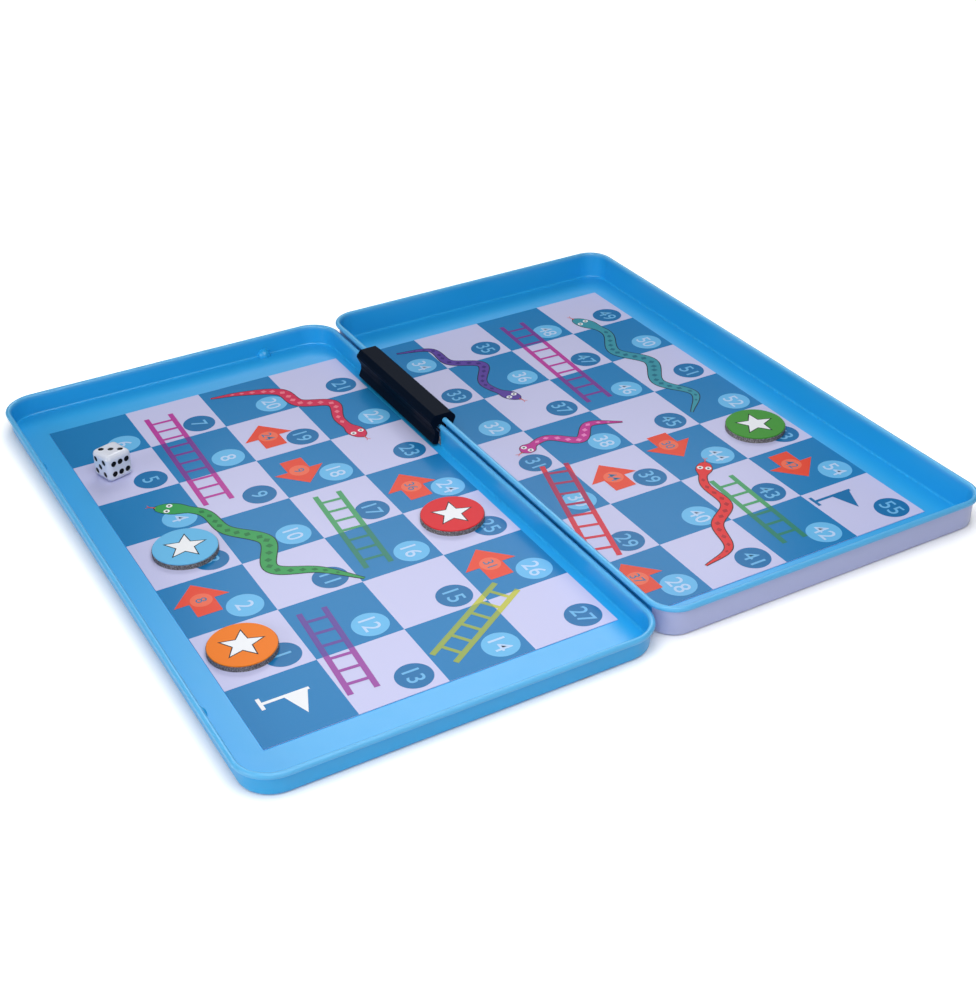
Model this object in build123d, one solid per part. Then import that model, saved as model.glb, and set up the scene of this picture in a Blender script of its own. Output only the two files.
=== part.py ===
"""Travel snakes and ladders game in a slim tin, opened flat with the board upwards.

Millimetres. +X runs across the hinge from the lid to the base, +Y along the hinge from
the near edge to the far edge, +Z up. The origin is under the middle of the open game, at
the height of the table.
"""

import os

from build123d import *

# Board
cell = 24.0                 # side of one square
columns = 4                 # squares across one half
rows = 7                    # squares along one half
print_thickness = 0.2       # printed sheet on each floor
lid_print_margin = 2.85     # bare floor between the lid's print and its hinge wall
base_print_margin = 9.2     # bare floor between the base's print and its outer wall
base_print_shift = -1.2     # the base's print lies this far from the base's middle, towards the near edge

# Tinplate trays
sheet = 0.4                 # thickness of the tinplate
bead_diameter = 1.6         # rolled rim
corner_radius = 8.4         # inside corner of the lid, seen from above
foot_radius = 0.6           # inside radius between wall and floor
lid_inner_width = 107.6     # across the hinge
lid_inner_length = 198.2    # along the hinge
lid_height = 7.04           # table to the top of the lid's rim
rim_step = 2.4              # how much higher the base's rim is than the lid's when open
nest_clearance = 0.25       # between the base's rim and the lid's long walls when shut
end_clearance = 1.0         # between the base's rim and the lid's short walls, at each end
base_shift = -0.55          # the base sits this far towards the near edge in that play
rims_apart = 1.0            # across the hinge, between the middles of the two rims when open

# Round stops pressed up from below at the foot of the lid's walls, for the base's rim when shut
stop_radius = 2.2
stop_inset = 0.2            # from the wall's inner face to the middle of the stop
stop_gap = 0.3              # between a stop and the base's rim when shut
long_wall_stop_y = 65.0     # each side of the middle of the outer long wall
short_wall_stop_x = 31.7    # from the middle of each short wall towards the hinge

# Hinge clip
clip_length = 50.6
clip_middle_y = 41.5        # the clip sits nearer the far end
clip_roof = 1.4             # plastic above the base's rim
crown_reach = 1.3           # the flat top, beyond the wall at each side
shoulder_reach = 2.7        # the shoulder, beyond the wall
shoulder_drop = 1.4         # from the top down to the shoulder
side_reach = 2.9            # the widest place, beyond the wall
waist_reach = 1.6           # the waist, beyond the wall
waist_top = 0.6             # from the middle of the lid's rim down to the waist
waist_foot = 2.2            # and down to where the waist ends
toe_reach = 2.5             # the toe, beyond the wall
toe_height = 0.9            # height of the toe above the sole
toe_bevel = 0.2             # width and height of the bevel under the toe
sole_reach = 0.9            # the sole, beyond the wall
sole_gap = 0.7              # between the sole and the lid's floor
clip_rounding = 0.35        # of the outline's corners
bar_play = 0.2              # radial play of the lid's rim in its channel
grip_play = 0.05            # radial play of the base's rim in its channel
snap_opening = 1.2          # gap between the two lips under the lid's rim
lip_thickness = 0.7         # height of the lips below the channel
leg_gap = 0.25              # between the lid's leg and the line of the lid's wall
mouth_flare_start = 3.2     # from the middle of the lid's rim down to where the mouth widens
mouth_flare = 0.9           # how much wider the mouth is at each side, at its foot
window_end_gap = 0.5        # between each end of the clip and the window in the lid
swing_gap = 0.4             # between the turning clip and the lid's floor

# Tokens
token_diameter = 18.0
magnet_thickness = 1.4
face_thickness = 0.3
face_inset = 0.15           # the printed face is this much smaller all round
face_edge = 0.12            # rounding of the face's upper edge

# Middle of each token, from the near corner of its print on the side of the lid's outer wall
lid_tokens = {"orange": (10.0, 37.1), "blue": (13.2, 85.6), "red": (82.7, 62.7)}
base_tokens = {"green": (84.6, 61.1)}

# Die
die_side = 8.4
die_edge_radius = 1.6
die_place = (9.6, 134.9)    # from the same corner of the lid's print
die_turn = 17.0             # degrees about +Z
pip_diameter = 1.75
pip_pitch = 1.95            # from the middle of a face to an outer pip, along the edges
six_row = 1.65              # from the middle of the six to each of its rows
six_pitch = 2.2             # between the pips of one row of the six
pip_recess = 0.35
pip_fill = 0.2              # thickness of the black paint in each recess

# Worked out from the sizes above
bead_r = bead_diameter / 2
lid_outer_width = lid_inner_width + 2 * bead_diameter
lid_bead_z = lid_height - bead_r
base_bead_z = lid_bead_z + rim_step
base_inner_width = lid_inner_width - 2 * nest_clearance - 2 * bead_diameter
base_inner_length = lid_inner_length - 2 * end_clearance - 2 * bead_diameter
base_outer_width = base_inner_width + 2 * bead_diameter
base_corner_radius = corner_radius - nest_clearance - bead_diameter
open_width = lid_outer_width + base_outer_width - bead_diameter + rims_apart

lid_rim_x = -open_width / 2 + lid_outer_width - bead_r
base_rim_x = lid_rim_x + rims_apart
lid_x = lid_rim_x - bead_r - lid_inner_width / 2
base_x = base_rim_x + bead_r + base_inner_width / 2

# The lid turns about an axis beside the middle of its rim, so that it clears the base's rim when shut
hinge_shift = (bead_diameter + nest_clearance - rims_apart) / 2
hinge_x = lid_rim_x - hinge_shift
print_top = sheet + print_thickness
print_length = rows * cell
print_width = columns * cell

lid_hinge_wall_x = lid_x + lid_inner_width / 2
base_hinge_wall_x = base_x - base_inner_width / 2
base_outer_wall_x = base_x + base_inner_width / 2
lid_print_x = lid_hinge_wall_x - lid_print_margin - print_width
base_print_x = base_outer_wall_x - base_print_margin - print_width


def block(width, length, radius, bottom, top, x=0.0):
    """Upright block with rounded corners, its middle at x."""
    return Pos(x, 0, bottom) * extrude(RectangleRounded(width, length, radius), amount=top - bottom)


def bowl(x, width, length, radius, foot, bottom, top):
    """Upright block with rounded corners and a rounded lower edge."""
    shape = block(width, length, radius, bottom, top, x)
    return fillet(shape.edges().group_by(Axis.Z)[0], foot)


def tray_outside(x, width, length, radius, bead_z):
    """Outside of a tray up to the middle of its rolled rim."""
    return bowl(x, width + 2 * sheet, length + 2 * sheet, radius + sheet, foot_radius + sheet, 0, bead_z)


def tray(x, width, length, radius, bead_z):
    """Open tray of even sheet, its inside width by length, without its rolled rim."""
    inside = bowl(x, width, length, radius, foot_radius, sheet, bead_z + sheet)
    return tray_outside(x, width, length, radius, bead_z) - inside


def rolled_rim(x, width, length, radius, bead_z):
    """The rim, rolled outwards so that its inner side is in line with the wall."""
    outline = RectangleRounded(width + bead_diameter, length + bead_diameter, radius + bead_r)
    path = Pos(x, 0, bead_z) * outline.wire()
    start = path @ 0
    section = Plane(origin=start, z_dir=path % 0) * Circle(bead_r)
    return sweep(section, path=path)


def lid_stops():
    """Middle of each round stop, so low that its top stays clear of the base's rim when shut."""
    height = lid_bead_z - (rim_step + bead_r) - stop_gap - stop_radius
    outer_x = lid_x - lid_inner_width / 2 + stop_inset
    end_y = lid_inner_length / 2 - stop_inset
    places = [(outer_x, side * long_wall_stop_y, height) for side in (-1, 1)]
    places += [(lid_x + short_wall_stop_x, side * end_y, height) for side in (-1, 1)]
    return places


def lid_tray():
    """Shallow half. A window in its hinge wall leaves the rolled rim as a bar for the clip."""
    tin = tray(lid_x, lid_inner_width, lid_inner_length, corner_radius, lid_bead_z)
    window_length = clip_length + 2 * window_end_gap
    window_depth = sheet + foot_radius
    cut = Pos(lid_hinge_wall_x + sheet - window_depth / 2, clip_middle_y, (sheet + lid_bead_z) / 2)
    tin -= cut * Box(window_depth + 2 * sheet, window_length, lid_bead_z - sheet)
    tin += rolled_rim(lid_x, lid_inner_width, lid_inner_length, corner_radius, lid_bead_z)
    outside = tray_outside(lid_x, lid_inner_width, lid_inner_length, corner_radius, lid_bead_z)
    within_walls = block(lid_inner_width, lid_inner_length, corner_radius, -sheet, lid_bead_z, lid_x)
    for middle in lid_stops():
        tin += Pos(*middle) * Sphere(stop_radius) & outside
        tin -= Pos(*middle) * Sphere(stop_radius - sheet) & within_walls
    return tin


def base_tray():
    """Deep half, a little smaller so that its rim goes inside the lid."""
    tin = tray(base_x, base_inner_width, base_inner_length, base_corner_radius, base_bead_z)
    tin += rolled_rim(base_x, base_inner_width, base_inner_length, base_corner_radius, base_bead_z)
    return Pos(0, base_shift, 0) * tin


def lid_board():
    """Printed sheet on the lid's floor."""
    middle = Pos(lid_print_x + print_width / 2, 0, sheet + print_thickness / 2)
    return middle * Box(print_width, print_length, print_thickness)


def base_board():
    """Printed sheet on the base's floor, trimmed where the floor turns up to the hinge wall."""
    start = max(base_print_x, base_hinge_wall_x + foot_radius)
    end = base_print_x + print_width
    middle = Pos((start + end) / 2, base_shift + base_print_shift, sheet + print_thickness / 2)
    return middle * Box(end - start, print_length, print_thickness)


def clip_outline():
    """Outer shape of the clip's end, from the lid's rim as origin: x across, y up.

    Each side is measured outwards from the inner face of the wall that it straddles.
    """
    roof = rim_step + bead_r + clip_roof
    left_wall = -bead_r
    right_wall = rims_apart + bead_r
    foot = -(lid_bead_z - sheet - sole_gap)
    side = [
        (crown_reach, roof),
        (shoulder_reach, roof - shoulder_drop),
        (side_reach, rim_step),
        (waist_reach, -waist_top),
        (waist_reach, -waist_foot),
        (toe_reach, foot + toe_height),
        (toe_reach - toe_bevel, foot + toe_bevel),
        (sole_reach, foot),
    ]
    left = [(left_wall - out, up) for out, up in side]
    right = [(right_wall + out, up) for out, up in side]
    shape = make_face(Polyline(*left, *reversed(right), close=True))
    return fillet(shape.vertices(), clip_rounding)


def hinge_clip():
    """Moulded clip: one channel snaps round the lid's rim, the other grips the base's rim."""
    right_wall = rims_apart + bead_r
    bar_channel = bead_r + hinge_shift + bar_play
    lips = -(bar_channel + lip_thickness)
    deep = lid_bead_z
    swing_radius = lid_bead_z - sheet - swing_gap
    reach = right_wall + hinge_shift + swing_radius

    shape = clip_outline()
    pivot = Pos(-hinge_shift, 0)
    shape &= pivot * Circle(swing_radius) + pivot * Pos(reach / 2, 0) * Rectangle(reach, 4 * deep)

    left_face = -(bead_r + leg_gap)
    mouth = make_face(Polyline(
        (left_face, lips),
        (left_face, -mouth_flare_start),
        (left_face - mouth_flare, -deep),
        (right_wall + mouth_flare, -deep),
        (right_wall, -mouth_flare_start),
        (right_wall, lips),
        close=True,
    ))
    wall_slot = Pos(right_wall - sheet / 2, (lips + rim_step) / 2) * Rectangle(sheet, rim_step - lips)
    snap_slot = pivot * Pos(0, lips / 2) * Rectangle(snap_opening, -lips)
    shape -= mouth + wall_slot + snap_slot
    shape -= pivot * Circle(bar_channel)
    shape -= Pos(rims_apart, rim_step) * Circle(bead_r + grip_play)

    far_end = Plane(
        origin=(lid_rim_x, clip_middle_y + clip_length / 2, lid_bead_z),
        x_dir=(1, 0, 0),
        z_dir=(0, -1, 0),
    )
    return extrude(far_end * shape, amount=clip_length)


def token(place, corner_x, corner_y):
    """Rubber magnet and printed face of one token."""
    middle = Pos(corner_x + place[0], corner_y + place[1], print_top)
    magnet = middle * Pos(0, 0, magnet_thickness / 2) * Cylinder(token_diameter / 2, magnet_thickness)
    face = Cylinder(token_diameter / 2 - face_inset, face_thickness)
    face = fillet(face.edges().group_by(Axis.Z)[-1], face_edge)
    face = middle * Pos(0, 0, magnet_thickness + face_thickness / 2) * face
    return magnet, face


def pip_spots(count):
    """Where the pips of one face lie, from its middle."""
    spots = [(0, 0)] if count % 2 else []
    if count >= 2:
        spots += [(-1, 1), (1, -1)]
    if count >= 4:
        spots += [(-1, -1), (1, 1)]
    if count == 6:
        spots += [(-1, 0), (1, 0)]
    across, along = (six_row, six_pitch) if count == 6 else (pip_pitch, pip_pitch)
    return [(x * across, y * along) for x, y in spots]


def die_faces():
    """Plane of each face with its count of pips. Opposite faces add up to seven."""
    half = die_side / 2
    directions = {
        3: ((0, 0, 1), (1, 0, 0)),
        4: ((0, 0, -1), (1, 0, 0)),
        6: ((0, -1, 0), (0, 0, 1)),
        1: ((0, 1, 0), (1, 0, 0)),
        5: ((-1, 0, 0), (0, 1, 0)),
        2: ((1, 0, 0), (0, 1, 0)),
    }
    faces = []
    for count, (normal, across) in directions.items():
        origin = tuple(half * part for part in normal)
        faces.append((count, Plane(origin=origin, x_dir=across, z_dir=normal)))
    return faces


def die_pieces():
    """Die with recessed pips, and the black paint that lies in the recesses."""
    cube = Box(die_side, die_side, die_side)
    cube = fillet(cube.edges(), die_edge_radius)
    paint = []
    for count, face in die_faces():
        for spot in pip_spots(count):
            place = face * Pos(spot[0], spot[1], 0)
            cube -= place * Pos(0, 0, -pip_recess / 2) * Cylinder(pip_diameter / 2, pip_recess)
            middle = pip_fill / 2 - pip_recess
            paint.append(place * Pos(0, 0, middle) * Cylinder(pip_diameter / 2, pip_fill))
    seat = Pos(lid_print_x + die_place[0], -print_length / 2 + die_place[1], print_top + die_side / 2)
    turned = seat * Rot(0, 0, die_turn)
    return turned * cube, Compound(children=[turned * dot for dot in paint])


def main():
    os.makedirs("parts", exist_ok=True)
    nodes = {
        "base_tray": base_tray(),
        "lid_tray": lid_tray(),
        "base_board": base_board(),
        "lid_board": lid_board(),
        "hinge_clip": hinge_clip(),
    }
    near_edge = -print_length / 2
    for colour, place in lid_tokens.items():
        magnet, face = token(place, lid_print_x, near_edge)
        nodes[f"token_magnet_{colour}"] = magnet
        nodes[f"token_face_{colour}"] = face
    for colour, place in base_tokens.items():
        magnet, face = token(place, base_print_x, near_edge + base_shift + base_print_shift)
        nodes[f"token_magnet_{colour}"] = magnet
        nodes[f"token_face_{colour}"] = face
    nodes["die"], nodes["die_pips"] = die_pieces()
    for name, solid in nodes.items():
        export_step(solid, f"parts/{name}.step")


if __name__ == "__main__":
    main()
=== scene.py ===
"""Looks of the travel snakes and ladders game: paint, printed board, tokens, die and clip."""

import math

import bmesh
import bpy
from mathutils import Matrix, Vector


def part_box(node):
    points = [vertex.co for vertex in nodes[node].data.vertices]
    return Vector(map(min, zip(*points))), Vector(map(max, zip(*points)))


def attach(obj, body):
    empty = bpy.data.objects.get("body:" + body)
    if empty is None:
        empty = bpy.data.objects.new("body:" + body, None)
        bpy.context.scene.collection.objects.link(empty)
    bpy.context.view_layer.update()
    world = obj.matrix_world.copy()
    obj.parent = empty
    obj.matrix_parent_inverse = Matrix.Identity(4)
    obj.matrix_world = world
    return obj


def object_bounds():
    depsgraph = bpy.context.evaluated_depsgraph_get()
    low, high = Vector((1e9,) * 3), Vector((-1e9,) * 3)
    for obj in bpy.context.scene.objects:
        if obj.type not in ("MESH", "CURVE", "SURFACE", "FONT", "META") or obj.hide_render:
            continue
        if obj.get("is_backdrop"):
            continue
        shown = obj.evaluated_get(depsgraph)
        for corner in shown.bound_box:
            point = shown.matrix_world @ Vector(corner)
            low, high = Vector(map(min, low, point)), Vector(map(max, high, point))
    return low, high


MM = 0.001

# Sizes of the trays that their paint follows
BEAD = 1.6 * MM
SHEET = 0.4 * MM
FOOT_RADIUS = 0.6 * MM
BASE_CORNER = 6.55 * MM  # inside corner of the base, seen from above

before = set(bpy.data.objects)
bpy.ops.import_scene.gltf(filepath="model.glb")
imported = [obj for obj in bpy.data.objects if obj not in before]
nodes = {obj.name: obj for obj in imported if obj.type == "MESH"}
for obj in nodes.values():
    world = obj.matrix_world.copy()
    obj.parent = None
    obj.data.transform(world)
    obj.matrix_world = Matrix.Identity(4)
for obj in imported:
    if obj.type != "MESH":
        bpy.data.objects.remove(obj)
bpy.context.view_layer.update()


def srgb(red, green, blue):
    """Linear colour with alpha from 0 to 255 screen values."""

    def linear(value):
        value /= 255
        return value / 12.92 if value <= 0.04045 else ((value + 0.055) / 1.055) ** 2.4

    return (linear(red), linear(green), linear(blue), 1.0)


# ---------------------------------------------------------------- materials


class Nodes:
    """Short names for building a material's nodes."""

    def __init__(self, name):
        self.material = bpy.data.materials.new(name)
        self.material.use_nodes = True
        self.tree = self.material.node_tree
        self.shader = next(n for n in self.tree.nodes if n.type == "BSDF_PRINCIPLED")

    def add(self, kind, **settings):
        node = self.tree.nodes.new(kind)
        for key, value in settings.items():
            setattr(node, key, value)
        return node

    def link(self, output, socket):
        self.tree.links.new(output, socket)

    def math(self, operation, first, second=None):
        """One or two numbers or sockets through a math node."""
        node = self.add("ShaderNodeMath", operation=operation)
        for index, value in enumerate((first, second)):
            if value is None:
                continue
            if isinstance(value, (int, float)):
                node.inputs[index].default_value = value
            else:
                self.link(value, node.inputs[index])
        return node.outputs[0]

    def place(self):
        """Place on the surface, in the object's own frame."""
        return self.add("ShaderNodeTexCoord").outputs["Object"]

    def axes(self):
        """X, Y and Z of the place on the surface."""
        node = self.add("ShaderNodeSeparateXYZ")
        self.link(self.place(), node.inputs[0])
        return node.outputs

    def noise(self, scale, detail=3.0):
        node = self.add("ShaderNodeTexNoise")
        node.inputs["Scale"].default_value = scale
        node.inputs["Detail"].default_value = detail
        self.link(self.place(), node.inputs["Vector"])
        return node.outputs[0]

    def ramp(self, value, stops):
        """Colour by a value, between stops of place and colour."""
        node = self.add("ShaderNodeValToRGB")
        elements = node.color_ramp.elements
        while len(elements) < len(stops):
            elements.new(0.5)
        for element, (position, colour) in zip(elements, stops):
            element.position = position
            element.color = colour
        self.link(value, node.inputs[0])
        return node.outputs[0]

    def spread(self, value, low, high, start=0.0, end=1.0):
        """A value from start to end brought to the range from low to high."""
        node = self.add("ShaderNodeMapRange")
        node.inputs["From Min"].default_value = start
        node.inputs["From Max"].default_value = end
        node.inputs["To Min"].default_value = low
        node.inputs["To Max"].default_value = high
        self.link(value, node.inputs["Value"])
        return node.outputs[0]

    def length(self, first, second):
        """Long side of the right triangle with these legs."""
        squares = [self.math("POWER", leg, 2.0) for leg in (first, second)]
        return self.math("SQRT", self.math("ADD", *squares))

    def mix(self, factor, first, second):
        """Mix of two colours or sockets."""
        node = self.add("ShaderNodeMix", data_type="RGBA")
        self.link(factor, node.inputs["Factor"])
        for socket, colour in ((node.inputs[6], first), (node.inputs[7], second)):
            if isinstance(colour, tuple):
                socket.default_value = colour
            else:
                self.link(colour, socket)
        return node.outputs[2]

    def bump(self, value, depth):
        """Unevenness of that depth in metres."""
        node = self.add("ShaderNodeBump")
        node.inputs["Strength"].default_value = 1.0
        node.inputs["Distance"].default_value = depth
        self.link(value, node.inputs["Height"])
        self.link(node.outputs[0], self.shader.inputs["Normal"])

    def set(self, **values):
        """Fixed values on the shader's own sockets."""
        for key, value in values.items():
            self.shader.inputs[key.replace("_", " ")].default_value = value


def gloss(name, colour, rough=(0.2, 0.26), grain=900, depth=0.0015 * MM, specular=0.1):
    """Smooth printed or painted surface with a faint unevenness."""
    made = Nodes(name)
    made.set(Base_Color=colour, Specular_IOR_Level=specular)
    waves = made.noise(grain)
    made.link(made.spread(waves, *rough), made.shader.inputs["Roughness"])
    made.bump(waves, depth)
    return made.material


def outside_of_sheet(made, axes, middle, half, radius):
    """0 on the inside of a tray's sheet and 1 on its outside. half is the inside's half size."""
    away = []
    for axis in range(2):
        offset = made.math("ABSOLUTE", made.math("SUBTRACT", axes[axis], middle[axis]))
        away.append(made.math("MAXIMUM", made.math("SUBTRACT", offset, half[axis] - radius), 0.0))
    beyond_wall = made.math("SUBTRACT", made.length(*away), radius)
    wide = made.math("MAXIMUM", made.math("ADD", beyond_wall, FOOT_RADIUS), 0.0)
    deep = made.math("MAXIMUM", made.math("SUBTRACT", FOOT_RADIUS + SHEET, axes[2]), 0.0)
    return made.math("GREATER_THAN", made.length(wide, deep), FOOT_RADIUS + SHEET / 2)


TIN_BLUE = (0.018, 0.4, 0.82, 1.0)
# Paler blue painted over the rims as a highlight
TIN_RIM_HIGHLIGHT = (0.13, 0.5, 0.86, 1.0)
TIN_PALE = srgb(181, 188, 230)
RIM_HIGHLIGHT_SHARE = 0.75  # how much of the painted highlight's paler blue shows on the rim's top
HIGHLIGHT_START, HIGHLIGHT_FULL = 1.7 * MM, 0.5 * MM  # below the rim's top, where the painted highlight starts and where it is full


def tin_paint(name, rim, pale=None):
    """Blue gloss paint with a painted highlight, a paler blue over the rim, and the sheet's outside
    pale where pale says so.
    """
    made = Nodes(name)
    made.set(Base_Color=TIN_BLUE, Specular_IOR_Level=0.6)
    axes = made.axes()
    # Painted highlight: the rim's top is mixed towards a paler blue
    rim_highlight = made.spread(axes[2], 0.0, RIM_HIGHLIGHT_SHARE, rim - HIGHLIGHT_START, rim - HIGHLIGHT_FULL)
    blue = made.mix(rim_highlight, TIN_BLUE, TIN_RIM_HIGHLIGHT)
    made.link(blue, made.shader.inputs["Base Color"])
    waves = made.noise(260, 2.0)
    made.link(made.spread(waves, 0.28, 0.34), made.shader.inputs["Roughness"])
    made.bump(waves, 0.004 * MM)
    if pale:
        outside = outside_of_sheet(made, axes, *pale["shape"])
        # Painted shade: on the hinge side the outside stays blue, for the dark gap between the
        # trays
        shaded_hinge_side = made.math("LESS_THAN", axes[0], pale["shaded_hinge_side"])
        shade_drop = made.math("MULTIPLY", shaded_hinge_side, pale["shade_drop"])
        below = made.math("LESS_THAN", made.math("ADD", axes[2], shade_drop), pale["below"])
        share = made.math("MULTIPLY", outside, below)
        made.link(made.mix(share, blue, TIN_PALE), made.shader.inputs["Base Color"])
    return made.material


def dress(name, material):
    """The material on a node of the CAD model."""
    node = nodes[name]
    node.data.materials.clear()
    node.data.materials.append(material)


# The base is pale outside, from under its rim down; its hinge wall stays blue outside as painted
# shade in the gap between the trays
base_low, base_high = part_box("base_tray")
base_middle = [(base_low[i] + base_high[i]) / 2 for i in range(2)]
base_half = [(base_high[i] - base_low[i]) / 2 - BEAD for i in range(2)]
base_pale = {
    "shape": (base_middle, base_half, BASE_CORNER),
    "below": base_high.z - BEAD * 1.12,
    "shaded_hinge_side": base_low.x + 1.25 * MM,
    "shade_drop": 9.0 * MM,  # more than the hinge wall's height, so that nothing is pale there and the blue stands for the gap's shade
}
dress("base_tray", tin_paint("base_paint", base_high.z, base_pale))
dress("lid_tray", tin_paint("lid_paint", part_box("lid_tray")[1].z))

black = Nodes("clip_black")
black.set(Base_Color=(0.0016, 0.0055, 0.015, 1.0), Specular_IOR_Level=0.04)
grain = black.noise(2600, 2.0)
black.link(black.spread(grain, 0.42, 0.55), black.shader.inputs["Roughness"])
black.bump(grain, 0.01 * MM)
dress("hinge_clip", black.material)

rubber = Nodes("magnet_rubber")
speckle = rubber.noise(2800, 4.0)
greys = [(0.3, srgb(66, 62, 62)), (0.5, srgb(116, 112, 112)), (0.7, srgb(166, 164, 166))]
rubber.link(rubber.ramp(speckle, greys), rubber.shader.inputs["Base Color"])
rubber.set(Roughness=0.8, Specular_IOR_Level=0.3)
rubber.bump(speckle, 0.06 * MM)

FACES = {
    "orange": srgb(240, 126, 30),
    "blue": srgb(104, 186, 232),
    "red": srgb(222, 38, 48),
    "green": srgb(66, 150, 52),
}
for colour, value in FACES.items():
    dress(f"token_magnet_{colour}", rubber.material)
    dress(f"token_face_{colour}", gloss(f"token_{colour}", value, rough=(0.3, 0.38), specular=0.12))

ivory = Nodes("die_white")
ivory.set(Base_Color=srgb(226, 230, 242), Specular_IOR_Level=0.5)
ivory.set(Coat_Weight=0.2, Coat_Roughness=0.05)
ivory.set(Subsurface_Weight=0.15, Subsurface_Scale=1.0 * MM, Subsurface_Radius=(1.0, 1.0, 1.0))
cloud = ivory.noise(700, 2.0)
ivory.link(ivory.spread(cloud, 0.12, 0.2), ivory.shader.inputs["Roughness"])
ivory.bump(cloud, 0.004 * MM)
dress("die", ivory.material)
dress("die_pips", gloss("pip_black", (0.006, 0.006, 0.008, 1.0), rough=(0.3, 0.4)))

print_light = gloss("print_light", srgb(202, 203, 238))
print_dark = gloss("print_dark", srgb(32, 126, 186))
ring_light = gloss("ring_light", srgb(108, 188, 236))
ring_dark = gloss("ring_dark", srgb(30, 114, 172))
digit_white = gloss("digit_white", srgb(188, 214, 246))
digit_pale = gloss("digit_pale", srgb(112, 184, 230))
arrow_red = gloss("arrow_red", srgb(232, 76, 54))
arrow_ring = gloss("arrow_ring", srgb(240, 112, 84))
arrow_digit = gloss("arrow_digit", srgb(74, 122, 160))
ink = gloss("ink", srgb(24, 30, 38))
white = gloss("white_ink", srgb(240, 242, 246))
dress("lid_board", print_light)
dress("base_board", print_light)


# ---------------------------------------------------------------- flat artwork

# Sizes in millimetres, places on the board in squares
CELL = 24.0
COLUMNS, ROWS = 4, 7
LAYER = 0.01  # height of one layer of print over the next
CIRCLE_PLACE = (0.733, 0.258)  # middle of a number's circle in its square
CIRCLE_RADIUS = 4.9
NUMBER_HEIGHT = 4.7
NUMBER_WIDTHS = {1: 4.4, 2: 8.0}  # most width by count of digits
NUMBER_WEIGHT = 0.006
ARROW_CIRCLE_RADIUS = 2.95
ARROW_NUMBER = (3.0, 4.0, 0.005)  # height, most width and weight
OUTLINE = 0.28  # width of the dark line round a snake
EYE_RADIUS, PUPIL_RADIUS = 0.9, 0.38
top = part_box("lid_board")[1].z / MM


def bisect(work, place, normal, clear_inner=False):
    """The mesh cut by a plane, and cleared behind it with clear_inner."""
    geom = work.verts[:] + work.edges[:] + work.faces[:]
    bmesh.ops.bisect_plane(
        work, geom=geom, plane_co=place, plane_no=normal, clear_inner=clear_inner
    )


class Half:
    """Artwork of one half. Its corner is the near one on the side of the lid's outer wall."""

    def __init__(self, body, x0, y0, start=None):
        """start is where the print begins, if that is beyond the corner."""
        self.body, self.x0, self.y0, self.start = body, x0, y0, start

    def at(self, x, y):
        """Millimetres from squares."""
        return Vector((self.x0 + x * CELL, self.y0 + y * CELL))

    def square(self, x, y):
        """Column and row of the square at a place in millimetres."""
        return math.floor((x - self.x0) / CELL), math.floor((y - self.y0) / CELL)

    def piece(self, name, shapes, layer, materials, by_square=False):
        """One flat mesh from outlines. by_square cuts it at the squares, with an ink for each."""
        work = bmesh.new()
        for shape in shapes:
            corners = [work.verts.new((p[0], p[1], 0.0)) for p in shape]
            work.faces.new(corners)
        if by_square:
            for axis, origin, count in ((0, self.x0, COLUMNS), (1, self.y0, ROWS)):
                normal = Vector((0, 0, 0))
                normal[axis] = 1.0
                for step in range(1, count):
                    bisect(work, normal * (origin + step * CELL), normal)
        if self.start is not None:
            bisect(work, (self.start, 0, 0), (1, 0, 0), clear_inner=True)
        for face in work.faces:
            if face.normal.z < 0:
                face.normal_flip()
            if by_square:
                middle = face.calc_center_median()
                face.material_index = 1 if sum(self.square(middle.x, middle.y)) % 2 == 0 else 0
        for vertex in work.verts:
            vertex.co = Vector((vertex.co.x, vertex.co.y, top + layer * LAYER)) * MM
        mesh = bpy.data.meshes.new(name)
        work.to_mesh(mesh)
        work.free()
        for material in materials:
            mesh.materials.append(material)
        made = bpy.data.objects.new(name, mesh)
        bpy.context.scene.collection.objects.link(made)
        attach(made, self.body)


def disc(centre, radius, count=48):
    angles = [2 * math.pi * i / count for i in range(count)]
    return [(centre[0] + radius * math.cos(a), centre[1] + radius * math.sin(a)) for a in angles]


def digits(text, centre, height, widest, weight=0.0):
    """Outlines of a number whose digits' tops point along +X, as triangles."""
    curve = bpy.data.curves.new("number", "FONT")
    curve.body = text
    curve.resolution_u = 6
    curve.offset = weight
    holder = bpy.data.objects.new("number", curve)
    bpy.context.scene.collection.objects.link(holder)
    bpy.context.view_layer.update()
    graph = bpy.context.evaluated_depsgraph_get()
    mesh = bpy.data.meshes.new_from_object(holder.evaluated_get(graph))
    xs = [v.co.x for v in mesh.vertices]
    ys = [v.co.y for v in mesh.vertices]
    tall, wide = max(ys) - min(ys), max(xs) - min(xs)
    up = height / tall
    across = min(up, widest / wide)
    middle = ((max(xs) + min(xs)) / 2, (max(ys) + min(ys)) / 2)
    shapes = []
    for face in mesh.polygons:
        corners = []
        for index in face.vertices:
            spot = mesh.vertices[index].co
            x = centre[0] + (spot.y - middle[1]) * up
            y = centre[1] - (spot.x - middle[0]) * across
            corners.append((x, y))
        shapes.append(corners)
    bpy.data.objects.remove(holder)
    bpy.data.curves.remove(curve)
    bpy.data.meshes.remove(mesh)
    return shapes


def ladder(start, end, width, rungs, thick=1.6, rung=1.1):
    """Rails of one thickness and rungs of another between two points."""
    start, end = Vector(start), Vector(end)
    along = (end - start).normalized()
    side = Vector((-along.y, along.x))
    shapes = []
    edge = side * (thick / 2)
    for sign in (-1, 1):
        rail = side * (sign * width / 2)
        foot, head = start + rail, end + rail
        shapes.append([foot - edge, head - edge, head + edge, foot + edge])
    length = (end - start).length
    reach = side * (width / 2 - thick / 2)
    half = along * (rung / 2)
    for i in range(rungs):
        spot = start + along * (length * (i + 0.75) / (rungs + 0.5))
        near, far = spot - reach, spot + reach
        shapes.append([near - half, far - half, far + half, near + half])
    return shapes


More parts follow.
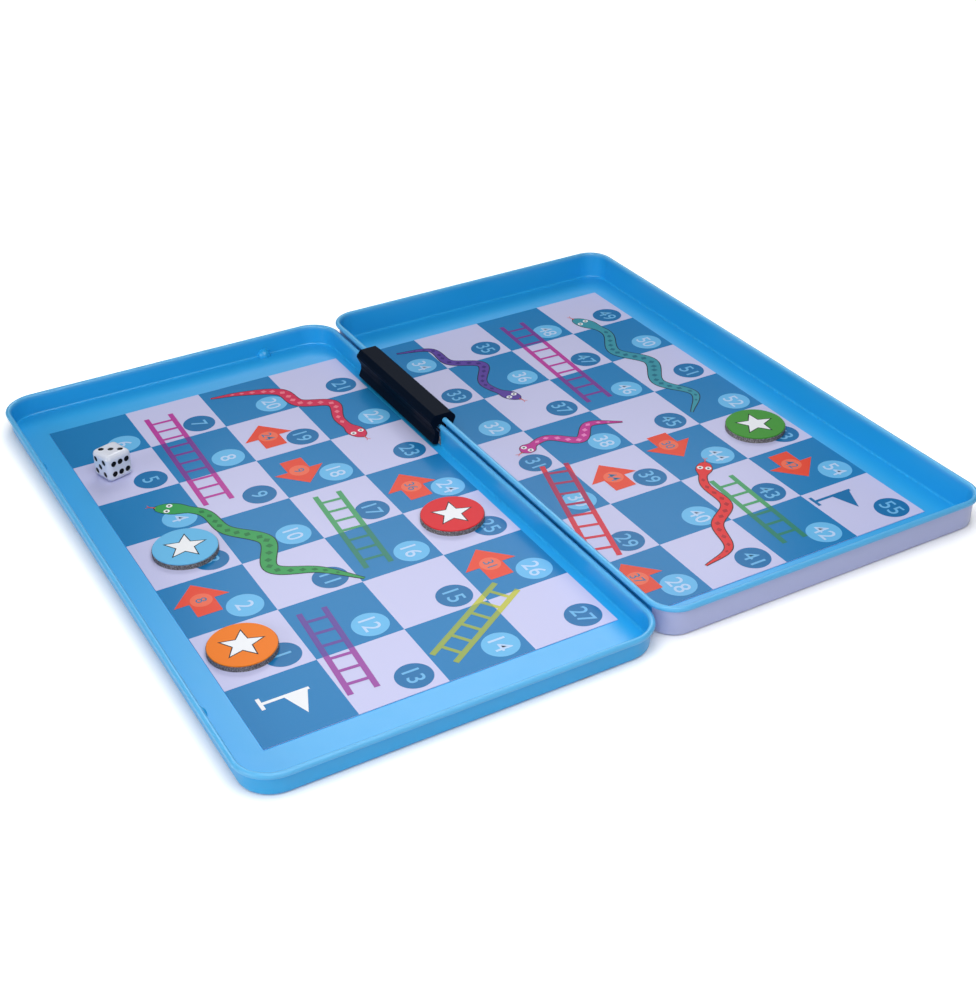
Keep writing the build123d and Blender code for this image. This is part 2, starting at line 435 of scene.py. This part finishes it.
def smooth_line(points, steps):
    """Smooth curve through the points, with so many steps from each to the next."""
    pts = [Vector(p) for p in points]
    pts = [pts[0] * 2 - pts[1], *pts, pts[-1] * 2 - pts[-2]]
    line = []
    for i in range(1, len(pts) - 2):
        a, b, c, d = pts[i - 1 : i + 3]
        square, cube = 2 * a - 5 * b + 4 * c - d, 3 * b - a - 3 * c + d
        for s in range(steps):
            t = s / steps
            line.append(0.5 * (2 * b + (c - a) * t + square * t * t + cube * t**3))
    line.append(pts[-2])
    return line


# Shares of a snake's length, from its tail to its nose, and of its body's width
BODY_FULL, NECK_START, HEAD_START, EYES = 0.45, 0.55, 0.86, 0.945
TAIL_WIDTH, NECK_WIDTH = 0.12, 0.68


def snake_width(share, body, head):
    """Half width from the tail at 0 to the nose at 1."""
    if share < HEAD_START:
        rise = math.sin(math.pi / 2 * min(1.0, share / BODY_FULL))
        fall = max(0.0, share - NECK_START) / (HEAD_START - NECK_START)
        return body * (TAIL_WIDTH + (1 - TAIL_WIDTH) * rise - (1 - NECK_WIDTH) * fall)
    along = (share - HEAD_START) / (1 - HEAD_START)
    neck = body * NECK_WIDTH
    if along < 0.5:
        return neck + (head - neck) * (0.5 - 0.5 * math.cos(math.pi * along / 0.5))
    return head * math.sqrt(max(0.0, 1 - ((along - 0.5) / 0.5) ** 2))


def ribbon(line, widths):
    """Quads along a line with its half width at each point."""
    edges = []
    for i, spot in enumerate(line):
        ahead = line[min(i + 1, len(line) - 1)] - line[max(i - 1, 0)]
        side = Vector((-ahead.y, ahead.x)).normalized()
        edges.append((spot - side * widths[i], spot + side * widths[i]))
    shapes = []
    for (a, b), (c, d) in zip(edges, edges[1:]):
        corners = [a, c, d, b]
        if (c - d).length < 0.01:
            corners = [a, c, b]
        elif (a - b).length < 0.01:
            corners = [a, c, d]
        shapes.append(corners)
    return shapes


class Snake:
    """Shapes of one snake from its tail to its nose."""

    def __init__(self, points, body, head):
        line = smooth_line(points, 18)
        lengths = [0.0]
        for a, b in zip(line, line[1:]):
            lengths.append(lengths[-1] + (b - a).length)
        self.line, self.total = line, lengths[-1]
        self.shares = [length / self.total for length in lengths]
        self.widths = [snake_width(s, body, head) for s in self.shares]
        self.head = head

    def outline(self, extra):
        """The snake's shape, wider by extra all round."""
        widths = [w + extra * min(1.0, 4 * (1 - s) + 0.6) for w, s in zip(self.widths, self.shares)]
        line = list(self.line)
        ahead = (line[-1] - line[-2]).normalized()
        line[-1] = line[-1] + ahead * extra
        widths[-1] = 0.25  # the nose's own end is a point
        return ribbon(line, widths)

    def fill(self):
        return ribbon(self.line, self.widths)

    def spot(self, share, side=0.0):
        """Place, two directions and half width at a share of the length, so far to one side."""
        index = min(range(len(self.shares)), key=lambda i: abs(self.shares[i] - share))
        ahead = self.line[min(index + 1, len(self.line) - 1)] - self.line[max(index - 1, 0)]
        across = Vector((-ahead.y, ahead.x)).normalized()
        return self.line[index] + across * side, ahead.normalized(), across, self.widths[index]

    def diamonds(self, first=0.1, span=0.72, pitch=3.0):
        """Marks along the back."""
        count = max(3, int(self.total * span / pitch))
        shapes = []
        for i in range(count):
            middle, ahead, across, width = self.spot(first + span * i / (count - 1))
            long, wide = ahead * min(1.05, width * 0.8), across * (width * 0.55)
            shapes.append([middle - long, middle + wide, middle + long, middle - wide])
        return shapes

    def eyes(self, radius):
        shapes = []
        for side in (-1, 1):
            middle = self.spot(EYES, side * self.head * 0.52)[0]
            shapes.append(disc(middle, radius, 20))
        return shapes

    def tongue(self):
        nose, ahead, across, _ = self.spot(1.0)
        root = nose - ahead * 0.4
        fork = nose + ahead * 1.3
        left = fork + ahead * 1.0 + across * 0.75
        right = fork + ahead * 1.0 - across * 0.75
        half = across * 0.16
        return [
            [root - half, fork - half, fork + half, root + half],
            [fork - half, fork, left + ahead * 0.1, left - across * 0.3],
            [fork, fork + half, right + across * 0.3, right + ahead * 0.1],
        ]


def arrow(centre, turn):
    """Broad arrow that points along +Y, turned by that many degrees."""
    right_side = [(3.4, -7.0), (3.4, -0.8), (7.6, -0.8)]
    outline = [(-3.4, -7.0), *right_side, (0.0, 7.4), (-7.6, -0.8), (-3.4, -0.8)]
    spin = Matrix.Rotation(math.radians(turn), 2)
    return [[Vector(centre) + spin @ Vector(p) for p in outline]]


def flag(centre):
    """Pennant on a pole, with the pole's top towards +X like the numbers."""
    x, y = centre
    pole = [(x - 6.0, y + 3.6), (x - 6.0, y + 2.6), (x + 6.0, y + 2.6), (x + 6.0, y + 3.6)]
    foot = [(x - 7.0, y + 5.4), (x - 7.0, y + 0.8), (x - 6.0, y + 0.8), (x - 6.0, y + 5.4)]
    cloth = [(x + 5.4, y + 2.6), (x - 0.6, y + 2.6), (x + 2.2, y - 5.2)]
    return [pole, foot, cloth]


def star(centre, outer, inner, points=5):
    """Star with one point towards +X."""
    shape = []
    for i in range(points * 2):
        radius = outer if i % 2 == 0 else inner
        angle = math.pi * i / points
        shape.append((centre[0] + radius * math.cos(angle), centre[1] + radius * math.sin(angle)))
    return shape


def square_numbers(first):
    """Number of each square, away along one column and back along the next."""
    numbers, count = {}, first
    for column in range(COLUMNS):
        order = range(ROWS) if column % 2 == 0 else range(ROWS - 1, -1, -1)
        for row in order:
            numbers[column, row] = count
            count += 1
    return numbers


def lay_board(half, name, first):
    """Squares, circles and numbers."""
    dark = [(c, r) for c in range(COLUMNS) for r in range(ROWS) if (c + r) % 2 == 0]
    squares = []
    for column, row in dark:
        low, high = half.at(column, row), half.at(column + 1, row + 1)
        squares.append([(low.x, low.y), (high.x, low.y), (high.x, high.y), (low.x, high.y)])
    half.piece(f"{name}_dark_squares", squares, 1, [print_dark])
    rings = {True: [], False: []}
    numbers = {True: [], False: []}
    for (column, row), number in square_numbers(first).items():
        if number == 0:
            continue
        is_dark = (column + row) % 2 == 0
        middle = half.at(column + CIRCLE_PLACE[0], row + CIRCLE_PLACE[1])
        rings[is_dark].append(disc(middle, CIRCLE_RADIUS))
        written = str(number)
        widest = NUMBER_WIDTHS[len(written)]
        numbers[is_dark] += digits(written, middle, NUMBER_HEIGHT, widest, NUMBER_WEIGHT)
    half.piece(f"{name}_circles_light", rings[True], 2, [ring_light])
    half.piece(f"{name}_circles_dark", rings[False], 2, [ring_dark])
    half.piece(f"{name}_numbers_white", numbers[True], 3, [digit_white])
    half.piece(f"{name}_numbers_pale", numbers[False], 3, [digit_pale])


# Inks of the ladders on light and on dark squares
LADDER_INKS = {
    "magenta": (srgb(186, 64, 158), srgb(120, 60, 148)),
    "yellow": (srgb(196, 196, 84), srgb(150, 170, 84)),
    "green": (srgb(78, 162, 108), srgb(46, 130, 110)),
    "red": (srgb(216, 52, 72), srgb(172, 44, 90)),
    "purple": (srgb(158, 78, 166), srgb(100, 74, 158)),
}
# Inks of the snakes and of the marks on their backs
SNAKE_INKS = {
    "green": (srgb(52, 158, 84), srgb(26, 118, 62)),
    "crimson": (srgb(210, 42, 84), srgb(236, 120, 140)),
    "teal": (srgb(58, 150, 168), srgb(30, 110, 134)),
    "purple": (srgb(92, 66, 158), srgb(60, 40, 120)),
    "red": (srgb(226, 48, 50), srgb(178, 28, 40)),
    "magenta": (srgb(192, 48, 146), srgb(232, 130, 196)),
}


def paints(kind, inks):
    """Two materials for each ink of that kind."""
    return {
        name: [gloss(f"{kind}_{name}_{i}", pair[i]) for i in range(2)]
        for name, pair in inks.items()
    }


ladder_paint = paints("ladder", LADDER_INKS)
snake_paint = paints("snake", SNAKE_INKS)


def lay_ladders(half, name, items):
    """Ladders, each from its colour, its two ends, its width and its count of rungs."""
    for colour, start, end, width, rungs in items:
        shapes = ladder(half.at(*start), half.at(*end), width, rungs)
        half.piece(f"{name}_ladder_{colour}", shapes, 4, ladder_paint[colour], by_square=True)


def lay_snakes(half, name, items):
    """Snakes, each from its colour, its line from tail to nose and two half widths."""
    outlines, whites, blacks, tongues = [], [], [], []
    for colour, points, body, head in items:
        snake = Snake([half.at(*p) for p in points], body, head)
        outlines += snake.outline(OUTLINE)
        tongues += snake.tongue()
        whites += snake.eyes(EYE_RADIUS)
        blacks += snake.eyes(PUPIL_RADIUS)
        half.piece(f"{name}_snake_{colour}", snake.fill(), 6, [snake_paint[colour][0]])
        half.piece(f"{name}_snake_{colour}_marks", snake.diamonds(), 7, [snake_paint[colour][1]])
    half.piece(f"{name}_snake_tongues", tongues, 8, [arrow_red])
    half.piece(f"{name}_snake_outlines", outlines, 5, [ink])
    half.piece(f"{name}_snake_eyes", whites, 8, [white])
    half.piece(f"{name}_snake_pupils", blacks, 9, [ink])


def lay_arrows(half, name, items):
    """Arrows, each from its middle, its turn in degrees and the square it leads to."""
    bodies, rings, numbers = [], [], []
    for centre, turn, number in items:
        middle = half.at(*centre)
        bodies += arrow(middle, turn)
        spot = middle + Matrix.Rotation(math.radians(turn), 2) @ Vector((0, -0.4))
        rings.append(disc(spot, ARROW_CIRCLE_RADIUS, 36))
        numbers += digits(str(number), spot, *ARROW_NUMBER)
    half.piece(f"{name}_arrows", bodies, 5, [arrow_red])
    half.piece(f"{name}_arrow_circles", rings, 6, [arrow_ring])
    half.piece(f"{name}_arrow_numbers", numbers, 7, [arrow_digit])


# The base's first column is trimmed, so its squares are measured from its outer edge
left_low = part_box("lid_board")[0]
right_low, right_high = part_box("base_board")
right_x = right_high.x / MM - COLUMNS * CELL
left = Half("lid", left_low.x / MM, left_low.y / MM)
right = Half("base", right_x, right_low.y / MM, start=right_low.x / MM)

lay_board(left, "lid", 0)
lay_ladders(left, "lid", [
    ("magenta", (1.26, 4.35), (1.34, 6.7), 7.6, 10),
    ("yellow", (2.12, 0.35), (3.3, 1.12), 6.6, 6),
    ("green", (2.3, 2.2), (2.42, 3.85), 7.0, 7),
    ("purple", (1.2, 0.3), (1.3, 1.8), 6.8, 6),
])
lay_snakes(left, "lid", [
    (
        "green",
        [
            (2.05, 2.05), (1.7, 2.45), (1.25, 2.75), (1.42, 3.3),
            (1.1, 3.75), (1.0, 4.25), (0.55, 4.62),
        ],
        2.1,
        2.7,
    ),
    (
        "crimson",
        [(2.1, 6.8), (2.5, 6.72), (2.95, 6.5), (3.05, 6.1), (3.42, 5.85), (3.32, 5.4), (3.4, 4.85)],
        2.0,
        2.6,
    ),
])
lay_arrows(left, "lid", [
    ((2.36, 5.5), 0, 24),
    ((2.36, 4.5), 180, 9),
    ((0.36, 2.6), 0, 8),
    ((3.36, 3.5), 0, 36),
    ((3.36, 1.6), 0, 31),
])
left.piece("lid_start_flag", flag(left.at(0.5, 0.5)), 4, [white])

lay_board(right, "base", 28)
lay_ladders(right, "base", [
    ("magenta", (2.28, 4.2), (2.4, 6.7), 7.6, 10),
    ("red", (0.36, 1.1), (0.9, 3.1), 7.2, 8),
    ("green", (2.36, 0.3), (2.44, 1.8), 6.6, 6),
])
lay_snakes(right, "base", [
    (
        "teal",
        [(3.1, 3.3), (3.42, 3.7), (3.2, 4.2), (3.45, 4.75), (3.2, 5.25), (3.42, 5.8), (3.25, 6.4)],
        2.1,
        2.7,
    ),
    (
        "purple",
        [(0.6, 6.75), (1.05, 6.6), (1.1, 6.15), (1.45, 5.85), (1.2, 5.35), (1.4, 4.75)],
        1.6,
        2.3,
    ),
    ("red", [(1.2, 0.4), (1.62, 0.55), (1.8, 1.0), (2.15, 1.3), (2.2, 1.8), (2.5, 2.2)], 1.6, 2.3),
    ("magenta", [(2.2, 3.55), (1.8, 3.72), (1.5, 3.45), (1.15, 3.7), (0.72, 3.55)], 1.7, 2.4),
])
lay_arrows(right, "base", [
    ((1.36, 2.5), 0, 44),
    ((2.36, 2.75), 180, 30),
    ((0.42, 0.6), 0, 37),
    ((3.36, 1.6), 180, 42),
])
right.piece("base_end_flag", flag(right.at(3.33, 0.68)), 4, [ring_dark])


# ---------------------------------------------------------------- token stars

# Outer and inner radius, layer and ink of the dark line's shape and of the star on it
STAR_SHAPES = {"rim": (6.3, 2.75, 1, ink), "star": (5.5, 2.4, 2, white)}

for colour in FACES:
    low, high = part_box(f"token_face_{colour}")
    centre = ((low.x + high.x) / 2 / MM, (low.y + high.y) / 2 / MM)
    for part, (outer, inner, layer, material) in STAR_SHAPES.items():
        shape = star(centre, outer, inner)
        mesh = bpy.data.meshes.new(f"token_{part}_{colour}")
        height = high.z + layer * LAYER * MM
        corners = [(p[0] * MM, p[1] * MM, height) for p in shape]
        mesh.from_pydata(corners, [], [list(range(len(shape)))])
        mesh.materials.append(material)
        mark = bpy.data.objects.new(f"token_{part}_{colour}", mesh)
        bpy.context.scene.collection.objects.link(mark)
        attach(mark, f"token_{colour}")


# ---------------------------------------------------------------- floor, light and camera

FLOOR_HALF = 6.0
FLOOR_HEIGHT = -0.02 * MM
FLOOR_WHITE = 0.66  # added to the floor as the camera sees it, away from the object
FLOOR_MIRRORED = 0.16  # added to the floor as gloss shows it
SHADOW_REACH = 12.0 * MM  # near the object, the floor keeps its shadow
WORLD_LIGHT = 0.15
WORLD_SEEN = 0.8  # as the camera sees it, like the far floor

signs = ((-1, -1), (1, -1), (1, 1), (-1, 1))
corners = [(x * FLOOR_HALF, y * FLOOR_HALF, FLOOR_HEIGHT) for x, y in signs]
mesh = bpy.data.meshes.new("floor")
mesh.from_pydata(corners, [], [(0, 1, 2, 3)])
floor = bpy.data.objects.new("floor", mesh)
bpy.context.scene.collection.objects.link(floor)
pale = Nodes("floor_pale")
pale.set(Base_Color=(0.96, 0.96, 0.96, 1.0), Roughness=0.9, Specular_IOR_Level=0.1)
path = pale.add("ShaderNodeLightPath")
near = pale.add("ShaderNodeAmbientOcclusion", samples=16)
near.inputs["Distance"].default_value = SHADOW_REACH
clear = pale.math("POWER", near.outputs["AO"], 2.0)
seen = pale.math("MULTIPLY", path.outputs["Is Camera Ray"], clear)
direct = pale.math("MULTIPLY", seen, FLOOR_WHITE)
mirrored = pale.math("MULTIPLY", path.outputs["Is Glossy Ray"], FLOOR_MIRRORED)
pale.set(Emission_Color=(1.0, 1.0, 1.0, 1.0))
pale.link(pale.math("MAXIMUM", direct, mirrored), pale.shader.inputs["Emission Strength"])
mesh.materials.append(pale.material)
floor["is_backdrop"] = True

world = bpy.data.worlds.new("studio")
bpy.context.scene.world = world
world.use_nodes = True
tree = world.node_tree
background = next(n for n in tree.nodes if n.type == "BACKGROUND")
background.inputs["Color"].default_value = (0.96, 0.98, 1.0, 1.0)
path = tree.nodes.new("ShaderNodeLightPath")
strength = tree.nodes.new("ShaderNodeMapRange")
strength.inputs["To Min"].default_value = WORLD_LIGHT
strength.inputs["To Max"].default_value = WORLD_SEEN
tree.links.new(path.outputs["Is Camera Ray"], strength.inputs["Value"])
tree.links.new(strength.outputs[0], background.inputs["Strength"])


def lamp(name, place, aim, size, power):
    """White soft box at a place in metres, turned to its aim."""
    data = bpy.data.lights.new(name, "AREA")
    data.shape = "RECTANGLE"
    data.size, data.size_y = size
    data.energy = power
    holder = bpy.data.objects.new(name, data)
    holder.location = place
    holder.rotation_mode = "QUATERNION"
    holder.rotation_quaternion = (Vector(aim) - Vector(place)).to_track_quat("-Z", "Y")
    bpy.context.scene.collection.objects.link(holder)
    holder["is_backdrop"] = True


lamp("key", (0.32, 0.58, 0.62), (0.0, 0.0, 0.0), (0.5, 0.4), 2.4)
lamp("top", (-0.07, -0.15, 0.3), (-0.02, -0.02, 0.0), (0.3, 0.3), 0.82)
lamp("fill", (-0.3, -0.75, 0.25), (0.0, 0.0, 0.0), (0.5, 0.35), 0.45)
lamp("side", (-0.8, -0.12, 0.24), (0.0, 0.0, 0.0), (0.4, 0.3), 1.75)

# Fitted to the corners of the board's squares in the photograph
CAMERA_PLACE = (-0.185665, -0.35004, 0.23969)
CAMERA_TURN = (57.755, 1.0392, -29.5499)
CAMERA_LENS = 57.222

camera_data = bpy.data.cameras.new("camera")
camera_data.sensor_width = 36.0
camera_data.lens = CAMERA_LENS
camera_data.clip_start = 0.01
camera = bpy.data.objects.new("camera", camera_data)
camera.location = CAMERA_PLACE
camera.rotation_euler = tuple(math.radians(angle) for angle in CAMERA_TURN)
bpy.context.scene.collection.objects.link(camera)
bpy.context.scene.camera = camera
bpy.context.scene.view_settings.view_transform = "Standard"

low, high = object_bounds()
